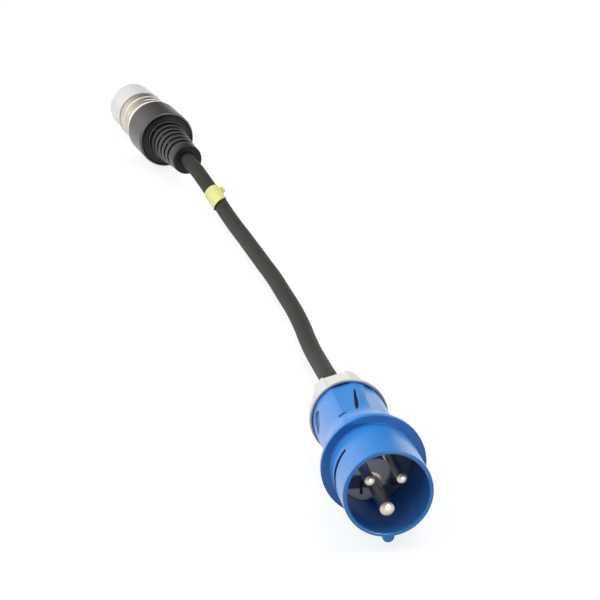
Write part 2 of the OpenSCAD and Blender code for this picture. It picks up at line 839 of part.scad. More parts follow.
module ring_clip() {
    gap_angle = 30;
    stand = 0.8;
    color([0.55, 0.56, 0.58]) on_connector()
        rotate(gap_angle / 2)
            rotate_extrude(angle = 360 - gap_angle)
                translate([nose_r - clip_depth + fit_gap / 2, clip_z + fit_gap / 2])
                    square([clip_depth + stand, clip_t]);
}

// Push-on dust cap over the nose
module dust_cap() {
    cap_end = cap_z + cap_len;
    round_r = 2.4;
    bead = 0.5;
    bead_len = 2;
    color([0.93, 0.94, 0.95, 0.55]) on_connector()
        rotate_extrude()
            polygon(concat(
                [[cap_bore_r, cap_z], [cap_r + bead, cap_z], [cap_r + bead, cap_z + bead_len],
                 [cap_r, cap_z + bead_len + bead]],
                [for (a = [0 : 15 : 90])
                    [cap_r - round_r + round_r * cos(a), cap_end - round_r + round_r * sin(a)]],
                [[0, cap_end], [0, cap_end - cap_wall], [cap_bore_r, cap_end - cap_wall]]
            ));
}

plug_shroud();
plug_housing();
contact_carrier();
live_pin();
neutral_pin();
earth_pin();
terminal_screws();
live_core();
neutral_core();
earth_core();
gland_seal();
clamp_cage();
gland_nut();
cable();
cable_label();
bend_relief();
cord_grip();
connector_sleeve();
connector_cores();
connector_shell();
shell_seal();
contact_insert();
socket_contacts();
coupling_ring();
ring_clip();
dust_cap();
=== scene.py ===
"""Looks of a blue three-pin industrial plug on a short lead with a capped round connector."""
import json
import math

import bmesh
import bpy
from mathutils import Matrix, Vector
from mathutils.geometry import interpolate_bezier


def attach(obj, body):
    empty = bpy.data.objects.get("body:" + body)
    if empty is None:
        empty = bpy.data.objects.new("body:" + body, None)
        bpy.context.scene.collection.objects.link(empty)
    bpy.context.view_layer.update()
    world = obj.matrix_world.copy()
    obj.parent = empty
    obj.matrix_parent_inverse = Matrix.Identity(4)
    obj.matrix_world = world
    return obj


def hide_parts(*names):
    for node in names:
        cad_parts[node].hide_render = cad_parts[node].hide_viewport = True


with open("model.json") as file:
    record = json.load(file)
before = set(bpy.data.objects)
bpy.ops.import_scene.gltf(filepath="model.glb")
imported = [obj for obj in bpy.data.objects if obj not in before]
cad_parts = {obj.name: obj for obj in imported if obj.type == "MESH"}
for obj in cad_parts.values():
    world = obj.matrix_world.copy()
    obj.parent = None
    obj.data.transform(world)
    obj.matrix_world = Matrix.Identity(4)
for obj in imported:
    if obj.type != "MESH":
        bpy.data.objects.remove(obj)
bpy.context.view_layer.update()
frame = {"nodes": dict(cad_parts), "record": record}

MM = 0.001
ROOT = "plug_and_lead"
MOUNTS = {mount["name"]: mount for mount in frame["record"]["mounts"]}
SLOTS = {part["node"]: part["material_slot"] for part in frame["record"]["subparts"]}

# Sizes of the solids that the pieces below stand for, in mm
EDGE = 0.6
SHROUD_R = 21.85
SHROUD_BORE_R = 19.75
SHROUD_LEN = 36.5
SPIGOT_BACK = -8.1
FLANGE_R = 26.25
FLANGE_T = 3.0
GRIP_R = 19.2
HOUSING_BACK = -70.0
NUT_FRONT = -67.5
NUT_BACK = -93.0
NUT_R = 20.8
CABLE_R = 5.2
BOOT_LEN = 53.0
SLEEVE_R = 20.7
SLEEVE_LEN = 33.0
SHELL_R = 18.5
BAND_LEN = 13.5
RING_LEN = 18.0
NOSE_R = 16.4
NOSE_Z = 92.75

# Gaps beside what turns, and round what is pushed into a hole or wrapped
RUNNING_GAP = 0.25
FIT_GAP = 0.15

# Slack in telling the rows of an outline apart by their place
ROW_SLACK, FINE_SLACK = 0.1, 0.01


# Placing
def axis_frame(mount, ahead, side):
    """Matrix of a frame whose +Z is a mount's axis, with its origin `ahead` mm behind the mount and
    its +X as near to a side as can be."""
    z = Vector(MOUNTS[mount]["axis"]).normalized()
    x = (Vector(side) - z * Vector(side).dot(z)).normalized()
    y = z.cross(x)
    origin = Vector(MOUNTS[mount]["pos_m"]) - z * ahead * MM
    turn = Matrix((x, y, z)).transposed().to_4x4()
    return Matrix.Translation(origin) @ turn


def place(axes, x, y, z):
    """A point of such a frame, given in mm, in the part's own frame in metres."""
    return axes @ Vector((x * MM, y * MM, z * MM))


# Angles about the plug's axis run from its right over its top to its left
RIGHT = (1, 0, 0)
PLUG = axis_frame("shroud_mouth", SHROUD_LEN, RIGHT)
CONNECTOR = axis_frame("connector_face", NOSE_Z, RIGHT)

# Most of a side that a corner's rounding may take, radius below which a point is on the axis, and
# columns round a turned piece unless it needs more
ROUND_SHARE = 0.48
ON_AXIS = 1e-6
COLUMNS = 160


# Shapes
def unit(value):
    """A value held between 0 and 1."""
    return min(1, max(0, value))


def smooth_step(low, high, value):
    """0 below low, 1 above high and a soft step between; low may be the larger."""
    t = unit((value - low) / (high - low))
    return t * t * (3 - 2 * t)


def angle_from(centre, degrees):
    """Signed turn from a centre angle, in degrees from -180 to 180."""
    return (degrees - centre + 180) % 360 - 180


def spread(low, high, step):
    """Values from low to high, both included, about a step apart."""
    count = max(1, round(abs(high - low) / step))
    return [low + (high - low) * k / count for k in range(count + 1)]


def rounded(corners, steps=4):
    """A closed outline of (r, z) from corners (r, z, rounding), in mm."""
    outline = []
    count = len(corners)
    for i, (r, z, size) in enumerate(corners):
        here = Vector((r, z))
        if size <= 0:
            outline.append((r, z))
            continue
        before = Vector(corners[i - 1][:2]) - here
        after = Vector(corners[(i + 1) % count][:2]) - here
        start = here + before.normalized() * min(size, before.length * ROUND_SHARE)
        end = here + after.normalized() * min(size, after.length * ROUND_SHARE)
        for k in range(steps + 1):
            u = k / steps
            p = start * (1 - u) ** 2 + here * 2 * u * (1 - u) + end * u ** 2
            outline.append((p.x, p.y))
    return outline


def add_object(name, data):
    """A new object in the scene."""
    thing = bpy.data.objects.new(name, data)
    bpy.context.scene.collection.objects.link(thing)
    return thing


def solid(name, points, faces):
    """A smooth-shaded mesh object whose normals follow its larger faces."""
    mesh = bpy.data.meshes.new(name)
    mesh.from_pydata(points, [], faces)
    work = bmesh.new()
    work.from_mesh(mesh)
    bmesh.ops.recalc_face_normals(work, faces=work.faces)
    work.to_mesh(mesh)
    work.free()
    mesh.polygons.foreach_set("use_smooth", [True] * len(mesh.polygons))
    piece = add_object(name, mesh)
    piece.modifiers.new("normals", "WEIGHTED_NORMAL")
    return piece


def turned(name, axes, outline, warp=None, columns=COLUMNS, extra_angles=(), painted_light=None):
    """A closed solid turned from an outline about an axis; warp(degrees, r, z) may change r.
    The last argument gives, at (degrees, r, z), how far painted shade or a painted highlight covers
    the surface there, from 0 to 1."""
    angles = sorted(set([360 * k / columns for k in range(columns)] + list(extra_angles)))
    points = []
    painted_lights = []
    rows = []
    for r, z in outline:
        if r < ON_AXIS:
            rows.append([len(points)] * len(angles))
            points.append(place(axes, 0, 0, z))
            painted_lights.append(0)
            continue
        rows.append(list(range(len(points), len(points) + len(angles))))
        for degrees in angles:
            radius = warp(degrees, r, z) if warp else r
            a = math.radians(degrees)
            points.append(place(axes, radius * math.cos(a), radius * math.sin(a), z))
            painted_lights.append(painted_light(degrees, r, z) if painted_light else 0)
    faces = []
    for i, row in enumerate(rows):
        following = rows[(i + 1) % len(rows)]
        for k in range(len(angles)):
            n = (k + 1) % len(angles)
            corners = [row[k], row[n], following[n], following[k]]
            face = [c for j, c in enumerate(corners) if c not in corners[:j]]
            if len(face) > 2:
                faces.append(face)
    piece = solid(name, points, faces)
    if painted_light:
        piece.data.attributes.new("painted_light", "FLOAT", "POINT").data.foreach_set("value", painted_lights)
    return piece


# Materials: noise mottles each of them, and a finer noise raises its grain, by its height in metres
MOTTLE_DETAIL, MOTTLE_FROM, MOTTLE_TO = 6, 0.3, 0.7
GRAIN_DETAIL, GRAIN_FINER, GRAIN_HEIGHT = 3, 14, 0.00012
PLASTIC_SCALE, PLASTIC_ROUGH_SPREAD = 160, 0.03
METAL_SCALE, METAL_ROUGH_SPREAD = 300, 0.02
METAL_MOTTLE, METAL_BUMP = 0.02, 0.01
CLEAR_MOTTLE, CLEAR_BUMP, CLEAR_IOR = 0.02, 0.05, 1.4


def add_node(tree, kind, inputs, operation=None):
    """A new node; inputs gives each of its sockets a value or another node's output."""
    node = tree.nodes.new(kind)
    if operation:
        node.operation = operation
    for socket, value in inputs.items():
        if isinstance(value, bpy.types.NodeSocket):
            tree.links.new(value, node.inputs[socket])
        else:
            node.inputs[socket].default_value = value
    return node


def math_node(tree, operation, *values):
    """The output of a math node on numbers or other nodes' outputs."""
    return add_node(tree, "ShaderNodeMath", dict(enumerate(values)), operation).outputs[0]


def shader_inputs(material):
    """The sockets of a material's shader."""
    return material.node_tree.nodes["Principled BSDF"].inputs


def grained(name, colour, roughness, mottle, rough_spread, scale, bump):
    """A material with colour and roughness mottled by noise, and a fine raised grain."""
    material = bpy.data.materials.new(name)
    material.use_nodes = True
    tree = material.node_tree
    sockets = shader_inputs(material)
    sockets["Base Color"].default_value = (*colour, 1)
    sockets["Roughness"].default_value = roughness
    where = add_node(tree, "ShaderNodeTexCoord", {}).outputs["Object"]
    noise = add_node(tree, "ShaderNodeTexNoise", {
        "Vector": where, "Scale": scale, "Detail": MOTTLE_DETAIL}).outputs["Fac"]
    ramp = add_node(tree, "ShaderNodeValToRGB", {"Fac": noise})
    deep, pale = ramp.color_ramp.elements
    deep.position = MOTTLE_FROM
    deep.color = (*[c * (1 - mottle) for c in colour], 1)
    pale.position = MOTTLE_TO
    pale.color = (*[min(1, c * (1 + mottle)) for c in colour], 1)
    rough = add_node(tree, "ShaderNodeMapRange", {
        "Value": noise, "To Min": roughness - rough_spread, "To Max": roughness + rough_spread})
    grain = add_node(tree, "ShaderNodeTexNoise", {
        "Vector": where, "Scale": scale * GRAIN_FINER, "Detail": GRAIN_DETAIL})
    height = add_node(tree, "ShaderNodeBump", {
        "Height": grain.outputs["Fac"], "Strength": bump, "Distance": GRAIN_HEIGHT})
    tree.links.new(ramp.outputs["Color"], sockets["Base Color"])
    tree.links.new(rough.outputs["Result"], sockets["Roughness"])
    tree.links.new(height.outputs["Normal"], sockets["Normal"])
    return material


def moulded(name, colour, roughness, bump=0.15, mottle=0.04, gloss=0.5):
    """A moulded plastic or rubber."""
    material = grained(name, colour, roughness, mottle, PLASTIC_ROUGH_SPREAD, PLASTIC_SCALE, bump)
    shader_inputs(material)["Specular IOR Level"].default_value = gloss
    return material


def plated(name, colour, roughness):
    """A bare or plated metal."""
    material = grained(
        name, colour, roughness, METAL_MOTTLE, METAL_ROUGH_SPREAD, METAL_SCALE, METAL_BUMP)
    shader_inputs(material)["Metallic"].default_value = 1
    return material


def clear(name, colour, roughness, share):
    """A milky plastic that lets a share of the light through."""
    material = moulded(name, colour, roughness, CLEAR_BUMP, CLEAR_MOTTLE)
    shader_inputs(material)["Transmission Weight"].default_value = share
    shader_inputs(material)["IOR"].default_value = CLEAR_IOR
    return material


def add_painted_light(material, other, **ends):
    """Paints light or shade on a piece: turns it to another colour where its painted-light attribute
    is 1, such as painted shade deep in a groove or a painted highlight on an edge.
    ends gives the numbers that the shader's sockets have there, such as Metallic=0."""
    tree = material.node_tree
    sockets = shader_inputs(material)
    painted_light = add_node(tree, "ShaderNodeAttribute", {})
    painted_light.attribute_name = "painted_light"
    colour = add_node(tree, "ShaderNodeMixRGB", {
        "Fac": painted_light.outputs["Fac"], "Color1": sockets["Base Color"].links[0].from_socket,
        "Color2": (*other, 1)})
    tree.links.new(colour.outputs["Color"], sockets["Base Color"])
    for name, end in ends.items():
        socket = sockets[name]
        start = socket.links[0].from_socket if socket.is_linked else socket.default_value
        between = add_node(tree, "ShaderNodeMapRange", {
            "Value": painted_light.outputs["Fac"], "To Min": start, "To Max": end})
        tree.links.new(between.outputs["Result"], socket)


MATERIALS = {
    "blue_plastic": moulded("blue_plastic", (0.034, 0.255, 0.720), 0.26, bump=0.06),
    "pale_plastic": moulded("pale_plastic", (0.72, 0.72, 0.70), 0.45, gloss=0.3),
    "dark_plastic": moulded("dark_plastic", (0.24, 0.25, 0.28), 0.5),
    "nickel": plated("nickel", (0.66, 0.60, 0.52), 0.34),
    "shell_metal": plated("shell_metal", (0.55, 0.47, 0.38), 0.3),
    "steel": plated("steel", (0.55, 0.56, 0.58), 0.35),
    "brass": plated("brass", (0.75, 0.55, 0.22), 0.3),
    "brown_core": moulded("brown_core", (0.16, 0.07, 0.03), 0.5),
    "blue_core": moulded("blue_core", (0.03, 0.14, 0.45), 0.5),
    "earth_core": moulded("earth_core", (0.18, 0.38, 0.05), 0.5),
    "seal_rubber": moulded("seal_rubber", (0.02, 0.02, 0.02), 0.6),
    "cable_rubber": moulded("cable_rubber", (0.039, 0.0385, 0.034), 0.6, bump=0.3, gloss=0.15),
    "boot_rubber": moulded("boot_rubber", (0.018, 0.018, 0.019), 0.3, gloss=0.25),
    "black_plastic": moulded("black_plastic", (0.025, 0.023, 0.015), 0.28, gloss=0.36),
    "yellow_tape": moulded("yellow_tape", (0.82, 0.80, 0.28), 0.55),
    "clear_plastic": clear("clear_plastic", (0.93, 0.93, 0.915), 0.25, 0.3),
}

# Painted shade, dark and matt, in the blue mouldings' marks; painted highlights, white on the metal
# and pale on black edges
add_painted_light(MATERIALS["blue_plastic"], (0.004, 0.006, 0.030), Roughness=0.9)
add_painted_light(MATERIALS["shell_metal"], (0.85, 0.84, 0.82), Metallic=0)
add_painted_light(MATERIALS["boot_rubber"], (0.12, 0.12, 0.12))
add_painted_light(MATERIALS["black_plastic"], (0.12, 0.13, 0.15))


def set_material(piece, node):
    """Gives a piece the material of a CAD node's slot."""
    piece.data.materials.clear()
    piece.data.materials.append(MATERIALS[SLOTS[node]])


def stand_for(piece, body, node):
    """Puts a piece in place of a CAD node, on that node's body and in its slot."""
    set_material(piece, node)
    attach(piece, body)
    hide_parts(node)
    return piece


for name in SLOTS:
    set_material(frame["nodes"][name], name)


# Turn in radians within which a mark lies on its own side of the plug
FACING = 1

# Shroud, with the key under it and the slot on its left side
SHROUD_COLUMNS = 180
RIM_ROUND = 0.9
KEY_AT, KEY_W, KEY_H = 270, 5.8, 3.0
KEY_BACK, KEY_REACH, KEY_STEP = 0.3, 9, 0.6
SLOT_Z, SLOT_W, SLOT_DEPTH = 11.5, 2.8, 1.2
SLOT_FROM, SLOT_ARC, SLOT_FLARE = 139, 60, 3.2
SLOT_WALL = 0.12
SLOT_END = math.degrees(SLOT_WALL / SHROUD_R)
# Shares of the slot's depth over which its painted shade comes in
SLOT_PAINTED_SHADE = (0.05, 0.3)
ROWS_BEHIND_SLOT, ROWS_BEFORE_SLOT = [2, 5, 8], [20, 24, 28, 33]


def shroud_warp(degrees, r, z):
    """Raises the key from the shroud's outside, and sinks the slot into it."""
    if z < KEY_BACK or r < SHROUD_R - EDGE - FINE_SLACK:
        return r
    nose = KEY_W / 2
    centre = SHROUD_R + KEY_H - nose
    turn = math.radians(angle_from(KEY_AT, degrees))
    across = centre * math.sin(turn)
    if abs(turn) < FACING and abs(across) < nose:
        tip = centre * math.cos(turn) + math.sqrt(nose ** 2 - across ** 2)
        return max(r, tip - (SHROUD_R - r))
    inside = angle_from(SLOT_FROM + SLOT_ARC / 2, degrees)
    around = smooth_step(SLOT_ARC / 2 + SLOT_END, SLOT_ARC / 2 - SLOT_END, abs(inside))
    half = (SLOT_W + SLOT_FLARE * unit((degrees - SLOT_FROM) / SLOT_ARC)) / 2
    along = smooth_step(half + SLOT_WALL, half - SLOT_WALL, abs(z - SLOT_Z - half))
    return r - SLOT_DEPTH * around * along


def slot_painted_shade(degrees, r, z):
    """Painted shade: the slot is painted dark, as the shade deep in it."""
    return smooth_step(*SLOT_PAINTED_SHADE, (r - shroud_warp(degrees, r, z)) / SLOT_DEPTH)


def make_shroud():
    """The shroud with its flange and the spigot behind it."""
    slot_top = SLOT_Z + SLOT_W
    slot_rows = [SLOT_Z + s for s in (-SLOT_WALL, 0, SLOT_WALL)]
    slot_rows += spread(slot_top - SLOT_WALL, slot_top + SLOT_FLARE + SLOT_WALL, SLOT_WALL)
    outline = rounded(
        [(SHROUD_BORE_R, SPIGOT_BACK, 0), (SHROUD_R, SPIGOT_BACK, 0), (SHROUD_R, -FLANGE_T, 0),
         (FLANGE_R, -FLANGE_T, EDGE), (FLANGE_R, 0, EDGE), (SHROUD_R, 0, EDGE)]
        + [(SHROUD_R, z, 0) for z in ROWS_BEHIND_SLOT + slot_rows + ROWS_BEFORE_SLOT]
        + [(SHROUD_R, SHROUD_LEN, RIM_ROUND), (SHROUD_BORE_R, SHROUD_LEN, RIM_ROUND)])
    angles = spread(KEY_AT - KEY_REACH, KEY_AT + KEY_REACH, KEY_STEP)
    slot_ends = [SLOT_FROM - SLOT_END, SLOT_FROM, SLOT_FROM + SLOT_END]
    angles += slot_ends + [a + SLOT_ARC for a in slot_ends]
    piece = turned("shroud_skin", PLUG, outline, shroud_warp, SHROUD_COLUMNS, angles, slot_painted_shade)
    return stand_for(piece, ROOT, "plug_shroud")


# Housing: a flared grip, each half with a slanting rib between two flats, a groove, an arc and a
# recess. Each flat has its side of the rib, its turn from the rib and its depth.
HOUSING_COLUMNS = 480
FLARE_LEN, FLARE_POWER, FLARE_TOP = 34.0, 2.4, 25.85
GRIP_SLANT, GRIP_SET = 7.5, 0.5
RIB_AT, RIB_HALF = 90, 8.085
FLAT_FRONT, FLAT_STEP, FLAT_END = -28.5, 0.2, 0.3
GRIP_FLATS = ((1, 13, 0.85), (-1, 28, 0.6))

# Share of its width that a groove or an arc keeps at a thin end, and where the groove is widest
THIN_END = 0.4
WIDEST_FROM, WIDEST_TO = 0.4, 0.6
GROOVE_AT, GROOVE_Z = 92, -44.5
GROOVE_LEN, GROOVE_W, GROOVE_DEPTH = 29.0, 2.0, 1.5
GROOVE_WALL, GROOVE_END = 0.2, 0.3
ARC_AT, ARC_HALF = 118, 9.5
ARC_W, ARC_DEPTH = 3.0, 1.2
ARC_WALL, ARC_END = 0.15, 0.8
# Depths in mm over which painted shade comes into the grooves and arcs
MARK_PAINTED_SHADE = (0.1, 0.7)

# The recess's painted shade darkens over the first shares of its depth, and is paler again over the
# last
RECESS_AT, RECESS_Z, RECESS_SLANT = 171, -55.5, 20
RECESS_LEN, RECESS_W, RECESS_DEPTH = 15.0, 6.4, 1.4
RECESS_WALL, RECESS_WALL_PAINTED_SHADE, RECESS_FLOOR_PAINTED_SHADE = 0.9, 0.6, 0.35
WALL_SHARES, FLOOR_SHARES = (0.05, 0.4), (0.6, 1.0)

# Rows along the grip: from, to and about how far apart. They are closest across the arcs.
GRIP_ROWS = ((-FLANGE_T, -27.8, 1.0), (-28.0, -30.9, 0.2), (-31.3, HOUSING_BACK + 0.9, 0.5))


def flare_radius(z):
    """Outer radius of the housing before the flats and marks."""
    t = unit((-FLANGE_T - z) / FLARE_LEN)
    return GRIP_R + (FLARE_TOP - GRIP_R) * (1 - t) ** FLARE_POWER


def slanted(slant, across, along):
    """A place on the grip across and along a mark that slants against the plug's axis."""
    s = math.radians(slant)
    return across * math.cos(s) - along * math.sin(s), across * math.sin(s) + along * math.cos(s)


def flat_cut(degrees, r, z):
    """Depth that a half's flats take from the grip."""
    depth = 0
    for side, turn, deep in GRIP_FLATS:
        swing = math.radians(angle_from(RIB_AT + side * turn, degrees))
        if abs(swing) > FACING:
            continue
        step_y = GRIP_R * math.sin(math.radians(side * (RIB_HALF - turn)))
        across, along = slanted(GRIP_SLANT, r * math.sin(swing) - step_y, z - FLAT_FRONT)
        inside = smooth_step(-FLAT_STEP, FLAT_STEP, side * across)
        inside *= smooth_step(FLAT_END, -FLAT_END, along)
        depth = max(depth, inside * (r - (GRIP_R - deep) / math.cos(swing)))
    return depth


def groove_cut(degrees, z):
    """Depth of a half's groove, which is thin at both ends."""
    swing = math.radians(angle_from(GROOVE_AT, degrees))
    across, along = slanted(GRIP_SLANT, GRIP_R * swing, z - GROOVE_Z)
    reach = GROOVE_LEN / 2
    swell = (1 - THIN_END) * smooth_step(-reach, WIDEST_FROM * reach, along)
    swell *= smooth_step(reach, WIDEST_TO * reach, along)
    half = GROOVE_W / 2 * (THIN_END + swell)
    wide = smooth_step(half + GROOVE_WALL, half - GROOVE_WALL, abs(across))
    return GROOVE_DEPTH * wide * smooth_step(reach + GROOVE_END, reach - GROOVE_END, abs(along))


def arc_cut(degrees, r, z):
    """Depth of a half's arc at the foot of the flare, which is thin at its right end."""
    turn = angle_from(ARC_AT, degrees)
    around = smooth_step(ARC_HALF + ARC_END, ARC_HALF - ARC_END, abs(turn))
    half = ARC_W / 2 * (THIN_END + (1 - THIN_END) * smooth_step(-ARC_HALF, 0, turn))
    along = smooth_step(half + ARC_WALL, half - ARC_WALL, abs(z - FLAT_FRONT + ARC_W / 2))
    return (r - GRIP_R + ARC_DEPTH) * around * along


def recess_cut(degrees, z):
    """Depth of a half's thumb recess, which is long with round ends."""
    swing = math.radians(angle_from(RECESS_AT, degrees))
    across, along = slanted(RECESS_SLANT, GRIP_R * swing, z - RECESS_Z)
    past = max(0, abs(along) - (RECESS_LEN - RECESS_W) / 2)
    half = RECESS_W / 2
    inside = smooth_step(half + RECESS_WALL, half - RECESS_WALL, math.hypot(across, past))
    return RECESS_DEPTH * inside


def recess_painted_shade(cut):
    """How much painted shade a recess has: most of all on its wall."""
    share = cut / RECESS_DEPTH
    wall = RECESS_WALL_PAINTED_SHADE * smooth_step(*WALL_SHARES, share)
    return wall - (RECESS_WALL_PAINTED_SHADE - RECESS_FLOOR_PAINTED_SHADE) * smooth_step(*FLOOR_SHARES, share)


def on_grip(r, z):
    """Whether a place of the outline is on the outside, behind the flange."""
    return r > GRIP_R - FINE_SLACK and z < -FLANGE_T - GRIP_SET


def both_halves(degrees):
    """An angle as the upper half has it, and as the lower half, which repeats the upper."""
    return degrees, degrees - 180


def housing_warp(degrees, r, z):
    """Takes the flats and the marks from the grip."""
    if not on_grip(r, z):
        return r
    return r - max(
        max(flat_cut(a, r, z), groove_cut(a, z), arc_cut(a, r, z), recess_cut(a, z))
        for a in both_halves(degrees))


def grip_painted_shade(degrees, r, z):
    """Painted shade: the grooves, arcs and recesses are painted dark, as the shade in them."""
    if not on_grip(r, z):
        return 0
    return max(
        max(smooth_step(*MARK_PAINTED_SHADE, max(groove_cut(a, z), arc_cut(a, r, z))),
            recess_painted_shade(recess_cut(a, z)))
        for a in both_halves(degrees))


def make_housing():
    """The housing with its threaded neck, seal seat and rim."""
    neck_r, neck_back, neck_bore_r = 15.0, -80.0, 11.5
    seal_z, hole_r, ledge_z, cone_z = -64.5, 7.2, -62.0, -56.0
    grip_bore_r, seat_z, rim_bore_r, spigot_r = 16.6, -10.6, 21.0, 22.0
    rows = [z for row in GRIP_ROWS for z in spread(*row)]
    outline = rounded(
        [(flare_radius(z), z, 0) for z in rows]
        + [(GRIP_R, HOUSING_BACK, EDGE), (neck_r, HOUSING_BACK, 0), (neck_r, neck_back, EDGE),
           (neck_bore_r, neck_back, 0), (neck_bore_r, seal_z, 0), (hole_r, seal_z, 0),
           (hole_r, ledge_z, 0), (grip_bore_r, cone_z, 0), (grip_bore_r, seat_z, 0),
           (rim_bore_r, seat_z, 0), (rim_bore_r, SPIGOT_BACK, 0), (spigot_r, SPIGOT_BACK, 0),
           (spigot_r, -FLANGE_T, 0)])
    piece = turned(
        "housing_skin", PLUG, outline, housing_warp, HOUSING_COLUMNS, painted_light=grip_painted_shade)
    return stand_for(piece, ROOT, "plug_housing")


# Gland nut: a smooth collar, with grip lobes between flats behind it
NUT_COLUMNS = 320
NUT_LOBES, LOBE_AT = 6, 75
LOBE_GAP, LOBE_H, LOBE_WALL, LOBE_SET = 11.5, 1.9, 0.35, 0.4
LOBE_FROM, LOBE_TO = 0.2, 0.8
LOBE_ROWS = (0.03, 0.93, 0.05)
COLLAR_LEN = 3.0
COLLAR_BACK = NUT_FRONT - COLLAR_LEN
LOBE_R, NUT_BACK_R = NUT_R - EDGE - LOBE_SET, 17.2
NUT_SKIN_R = 15.5


def nut_warp(degrees, r, z):
    """Takes the flats between the lobes from the nut."""
    if z > COLLAR_BACK - ROW_SLACK or r < NUT_SKIN_R:
        return r
    pitch = 360 / NUT_LOBES
    turn = math.radians(abs((degrees - LOBE_AT) % pitch - pitch / 2))
    slope = (LOBE_R - NUT_BACK_R) / (COLLAR_BACK - NUT_BACK)
    flat = (LOBE_R - LOBE_H - slope * (COLLAR_BACK - z)) / math.cos(turn)
    half = LOBE_GAP / 2
    inside = smooth_step(half + LOBE_WALL, half - LOBE_WALL, r * math.sin(turn))
    inside *= smooth_step(COLLAR_BACK - LOBE_FROM, COLLAR_BACK - LOBE_TO, z)
    return r - inside * max(0, r - flat)


def make_nut():
    """The gland nut with the cone inside that closes the clamp."""
    bore_r, hole_r = 15.25, 7.2
    seat_front, seat_front_r, seat_back, seat_back_r = -80.25, 11.25, -88.75, 8.83
    mouth_r, mouth_back = GRIP_R + RUNNING_GAP, HOUSING_BACK - RUNNING_GAP
    lobes = [(LOBE_R + (NUT_BACK_R - LOBE_R) * t, COLLAR_BACK + (NUT_BACK - COLLAR_BACK) * t, 0)
             for t in spread(*LOBE_ROWS)]
    outline = rounded(
        [(mouth_r, NUT_FRONT, 0.4), (NUT_R, NUT_FRONT, 0.9), (NUT_R, COLLAR_BACK, 0.9),
         (LOBE_R, COLLAR_BACK - LOBE_FROM, 0.3)] + lobes
        + [(NUT_BACK_R, NUT_BACK, 1.5), (hole_r, NUT_BACK, 0.6), (hole_r, seat_back, 0),
           (seat_back_r, seat_back, 0), (seat_front_r, seat_front, 0), (bore_r, seat_front, 0),
           (bore_r, mouth_back, 0), (mouth_r, mouth_back, 0)])
    piece = turned("nut_skin", PLUG, outline, nut_warp, NUT_COLUMNS)
    return stand_for(piece, "gland_nut", "gland_nut")


# Bend relief: rings on a core, joined by two bridges in each gap
BOOT_COLUMNS = 240
BOOT_RINGS = 6
BOOT_BASE_R, BOOT_TIP_R, BOOT_CORE_R = 14.6, 10.7, 6.8
BOOT_COLLAR, BOOT_ROOT, BOOT_LIP = 7.5, 2.0, 0.4
RING_FILL, RING_SET, CORE_REACH = 0.58, 0.8, 0.7
BRIDGE_W, BRIDGE_SET, BRIDGE_WALL = 3.0, 0.5, 1.2
BRIDGE_AT, BRIDGE_TURN = 45, 90
# Painted highlights on ring edges that face the cable: the row ending one, reach and span in mm
EDGE_HIGHLIGHT_END, EDGE_HIGHLIGHT_REACH, EDGE_HIGHLIGHT_FROM, EDGE_HIGHLIGHT_TO = 1.1, 0.5, 0.05, 0.5
BOOT_PITCH = (BOOT_LEN - BOOT_COLLAR - BOOT_ROOT) / BOOT_RINGS
BOOT_COLLAR_FRONT = -BOOT_LEN + BOOT_COLLAR


def boot_ring_radius(i):
    """Outer radius of the bend relief's taper, i rings from its base."""
    top = BOOT_BASE_R - RING_SET
    return top - (top - BOOT_TIP_R) * i / BOOT_RINGS


def boot_warp(degrees, r, z):
    """Raises the bridges from the core."""
    on_core = BOOT_CORE_R - ROW_SLACK <= r <= BOOT_CORE_R + CORE_REACH
    if not on_core or not BOOT_COLLAR_FRONT - ROW_SLACK <= z <= -BOOT_ROOT + ROW_SLACK:
        return r
    i = int((-BOOT_ROOT - z) / BOOT_PITCH + FINE_SLACK)
    at = BRIDGE_TURN * i + BRIDGE_AT
    turn = min(abs(angle_from(a, degrees)) for a in (at, at + 180))
    top = boot_ring_radius(i) - BRIDGE_SET
    half = math.degrees(math.asin(BRIDGE_W / 2 / top))
    return r + (top - r) * smooth_step(half + BRIDGE_WALL, half - BRIDGE_WALL, turn)


def boot_painted_highlight(degrees, r, z):
    """Painted highlights: the edges that face the cable are painted pale, as glints on them."""
    backs = [-BOOT_ROOT - i * BOOT_PITCH for i in range(BOOT_RINGS + 1)] + [-BOOT_LEN]
    return r > BOOT_TIP_R - EDGE_HIGHLIGHT_REACH and any(EDGE_HIGHLIGHT_FROM < z - back < EDGE_HIGHLIGHT_TO for back in backs)


def make_boot():
    """The bend relief, with the flange that holds it in the sleeve."""
    flange_front, flange_r, back_t = 7.0, 17.35, 4.0
    bore_r = CABLE_R + FIT_GAP
    ring_len = BOOT_PITCH * RING_FILL
    gap = BOOT_PITCH * (1 - RING_FILL)
    corners = [(bore_r, flange_front, 0), (flange_r, flange_front, 0), (flange_r, back_t, 0),
               (BOOT_BASE_R, back_t, 0), (BOOT_BASE_R, -BOOT_ROOT, 0.7)]
    for i in range(BOOT_RINGS):
        start = -BOOT_ROOT - i * BOOT_PITCH
        front_r, back_r = boot_ring_radius(i), boot_ring_radius(i + RING_FILL)
        # An extra row where the edge's painted highlight ends
        highlight_end_r = back_r + (front_r - back_r) * EDGE_HIGHLIGHT_END / ring_len
        corners += [(BOOT_CORE_R, start, 0.3), (BOOT_CORE_R, start - gap, 0.3),
                    (front_r, start - gap, 0.5), (highlight_end_r, start - BOOT_PITCH + EDGE_HIGHLIGHT_END, 0),
                    (back_r, start - BOOT_PITCH, 0.5)]
    corners += [(BOOT_CORE_R, BOOT_COLLAR_FRONT, 0),
                (BOOT_TIP_R + BOOT_LIP, BOOT_COLLAR_FRONT, 0.6),
                (BOOT_TIP_R, -BOOT_LEN, 1.6), (bore_r, -BOOT_LEN, 0.3)]
    outline = rounded(corners, steps=3)
    piece = turned("boot_skin", CONNECTOR, outline, boot_warp, BOOT_COLUMNS, painted_light=boot_painted_highlight)
    return stand_for(piece, ROOT, "bend_relief")


